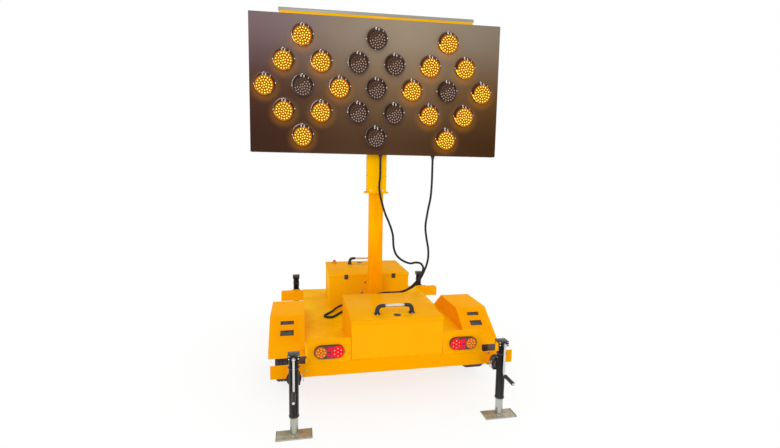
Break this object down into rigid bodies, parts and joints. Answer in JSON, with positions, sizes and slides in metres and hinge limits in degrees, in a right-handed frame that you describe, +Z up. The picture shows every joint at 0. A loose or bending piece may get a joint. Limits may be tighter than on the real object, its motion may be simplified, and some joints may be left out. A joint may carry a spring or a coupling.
{
  "type": "arrow board trailer",
  "caption": "Road trailer on four wind-down jacks with a telescopic mast, an arrow board of round amber lamps above it, a solar panel on top and two equipment boxes",
  "frame": {"origin": "on the ground at the middle of the trailer's overall width and length", "axes": "+Y points to the drawbar and coupler, +Z is up, and +X is to the right as seen from behind, by someone facing the lamps"},
  "size_m": [2.4006, 3.7466, 3.488],
  "materials": {
    "yellow_paint": "gloss",
    "bronze_paint": "satin",
    "solar_glass": "gloss",
    "black_steel": "satin",
    "jack_black": "gloss",
    "zinc": "satin",
    "wheel_steel": "satin",
    "tyre_rubber": "matte",
    "red_lens": "gloss",
    "red_plastic": "gloss",
    "amber_lamp_lit": "gloss",
    "amber_lamp_off": "gloss",
    "cable_rubber": "satin"
  },
  "bodies": {
    "chassis": {"chassis_frame": "yellow_paint", "coupler": "black_steel", "deck": "yellow_paint", "mudguard_left": "yellow_paint", "mudguard_right": "yellow_paint", "tail_light_left": "red_lens", "tail_light_right": "red_lens", "near_box": "yellow_paint", "far_box": "yellow_paint"},
    "mast": {"mast_lower": "yellow_paint", "cable_left": "cable_rubber", "cable_right": "cable_rubber"},
    "head": {"mast_sleeve": "yellow_paint", "board": "bronze_paint", "solar_panel": "solar_glass", "lamp_row1_1": "amber_lamp_lit", "lamp_row1_2": "amber_lamp_off", "lamp_row1_3": "amber_lamp_lit", "lamp_row2_1": "amber_lamp_lit", "lamp_row2_2": "amber_lamp_lit", "lamp_row2_3": "amber_lamp_off", "lamp_row2_4": "amber_lamp_off", "lamp_row2_5": "amber_lamp_lit", "lamp_row2_6": "amber_lamp_lit", "lamp_row3_1": "amber_lamp_lit", "lamp_row3_2": "amber_lamp_off", "lamp_row3_3": "amber_lamp_lit", "lamp_row3_4": "amber_lamp_off", "lamp_row3_5": "amber_lamp_lit", "lamp_row3_6": "amber_lamp_off", "lamp_row3_7": "amber_lamp_lit", "lamp_row4_1": "amber_lamp_lit", "lamp_row4_2": "amber_lamp_lit", "lamp_row4_3": "amber_lamp_off", "lamp_row4_4": "amber_lamp_off", "lamp_row4_5": "amber_lamp_lit", "lamp_row4_6": "amber_lamp_lit", "lamp_row5_1": "amber_lamp_lit", "lamp_row5_2": "amber_lamp_off", "lamp_row5_3": "amber_lamp_lit"},
    "near_lid": {"near_lid": "yellow_paint"},
    "far_lid": {"far_lid": "yellow_paint"},
    "e_stop": {"e_stop_button": "red_plastic"},
    "latch": {"coupler_latch": "zinc"},
    "wheel_left": {"tyre_left": "tyre_rubber", "rim_left": "wheel_steel"},
    "wheel_right": {"tyre_right": "tyre_rubber", "rim_right": "wheel_steel"},
    "jack_rear_left": {"jack_rear_left_tube": "jack_black"},
    "jack_rear_left_leg": {"jack_rear_left_leg": "zinc"},
    "jack_rear_left_crank": {"jack_rear_left_crank": "zinc"},
    "jack_rear_right": {"jack_rear_right_tube": "jack_black"},
    "jack_rear_right_leg": {"jack_rear_right_leg": "zinc"},
    "jack_rear_right_crank": {"jack_rear_right_crank": "zinc"},
    "jack_front_left": {"jack_front_left_tube": "jack_black"},
    "jack_front_left_leg": {"jack_front_left_leg": "zinc"},
    "jack_front_left_crank": {"jack_front_left_crank": "zinc"},
    "jack_front_right": {"jack_front_right_tube": "jack_black"},
    "jack_front_right_leg": {"jack_front_right_leg": "zinc"},
    "jack_front_right_crank": {"jack_front_right_crank": "zinc"}
  },
  "joints": [
    {"name": "mast_aim", "type": "hinge", "parent": "chassis", "child": "mast", "pos_m": [0.023, -0.3, 0.4776], "axis": [0, 0, 1], "range_deg": [-10, 20]},
    {"name": "mast_lift", "type": "slide", "parent": "mast", "child": "head", "axis": [0, 0, 1], "range_m": [-1.05, 0], "deforming": ["cable_left", "cable_right"]},
    {"name": "near_lid_hinge", "type": "hinge", "parent": "chassis", "child": "near_lid", "pos_m": [0.013, -0.7385, 0.762], "axis": [1, 0, 0], "range_deg": [-80, 0]},
    {"name": "far_lid_hinge", "type": "hinge", "parent": "chassis", "child": "far_lid", "pos_m": [0.013, -0.121, 0.812], "axis": [1, 0, 0], "range_deg": [0, 80]},
    {"name": "e_stop_press", "type": "slide", "parent": "far_lid", "child": "e_stop", "axis": [0, 0, -1], "range_m": [0, 0.005], "stiffness_N_per_m": 1500, "springref_m": -0.002},
    {"name": "latch_lift", "type": "hinge", "parent": "chassis", "child": "latch", "pos_m": [0.013, 1.797, 0.486], "axis": [1, 0, 0], "range_deg": [-60, 0]},
    {"name": "wheel_spin_left", "type": "hinge", "parent": "chassis", "child": "wheel_left", "pos_m": [-0.877, -0.8, 0.305], "axis": [1, 0, 0], "continuous": true},
    {"name": "wheel_spin_right", "type": "hinge", "parent": "chassis", "child": "wheel_right", "pos_m": [0.903, -0.8, 0.305], "axis": [1, 0, 0], "continuous": true},
    {"name": "jack_rear_left_swivel", "type": "hinge", "parent": "chassis", "child": "jack_rear_left", "pos_m": [-0.797, -1.652, 0.42], "axis": [0, 1, 0], "range_deg": [-90, 0]},
    {"name": "jack_rear_left_wind", "type": "hinge", "parent": "jack_rear_left", "child": "jack_rear_left_crank", "pos_m": [-0.797, -1.6983, 0.607], "axis": [0, 1, 0], "range_deg": [0, 3960]},
    {"name": "jack_rear_left_raise", "type": "slide", "parent": "jack_rear_left", "child": "jack_rear_left_leg", "axis": [0, 0, 1], "range_m": [0, 0.1101]},
    {"name": "jack_rear_right_swivel", "type": "hinge", "parent": "chassis", "child": "jack_rear_right", "pos_m": [0.823, -1.652, 0.42], "axis": [0, 1, 0], "range_deg": [0, 90]},
    {"name": "jack_rear_right_wind", "type": "hinge", "parent": "jack_rear_right", "child": "jack_rear_right_crank", "pos_m": [0.823, -1.6983, 0.607], "axis": [0, 1, 0], "range_deg": [0, 3960]},
    {"name": "jack_rear_right_raise", "type": "slide", "parent": "jack_rear_right", "child": "jack_rear_right_leg", "axis": [0, 0, 1], "range_m": [0, 0.1101]},
    {"name": "jack_front_left_swivel", "type": "hinge", "parent": "chassis", "child": "jack_front_left", "pos_m": [-0.797, 0.839, 0.42], "axis": [0, 1, 0], "range_deg": [-90, 0]},
    {"name": "jack_front_left_wind", "type": "hinge", "parent": "jack_front_left", "child": "jack_front_left_crank", "pos_m": [-0.797, 0.8853, 0.607], "axis": [0, 1, 0], "range_deg": [0, 3960]},
    {"name": "jack_front_left_raise", "type": "slide", "parent": "jack_front_left", "child": "jack_front_left_leg", "axis": [0, 0, 1], "range_m": [0, 0.1101]},
    {"name": "jack_front_right_swivel", "type": "hinge", "parent": "chassis", "child": "jack_front_right", "pos_m": [0.823, 0.839, 0.42], "axis": [0, 1, 0], "range_deg": [0, 90]},
    {"name": "jack_front_right_wind", "type": "hinge", "parent": "jack_front_right", "child": "jack_front_right_crank", "pos_m": [0.823, 0.8853, 0.607], "axis": [0, 1, 0], "range_deg": [0, 3960]},
    {"name": "jack_front_right_raise", "type": "slide", "parent": "jack_front_right", "child": "jack_front_right_leg", "axis": [0, 0, 1], "range_m": [0, 0.1101]}
  ],
  "couplings": [
    {"joint": "jack_rear_left_raise", "follows": "jack_rear_left_wind", "m_per_rad": 0.0015915},
    {"joint": "jack_rear_right_raise", "follows": "jack_rear_right_wind", "m_per_rad": 0.0015915},
    {"joint": "jack_front_left_raise", "follows": "jack_front_left_wind", "m_per_rad": 0.0015915},
    {"joint": "jack_front_right_raise", "follows": "jack_front_right_wind", "m_per_rad": 0.0015915}
  ]
}
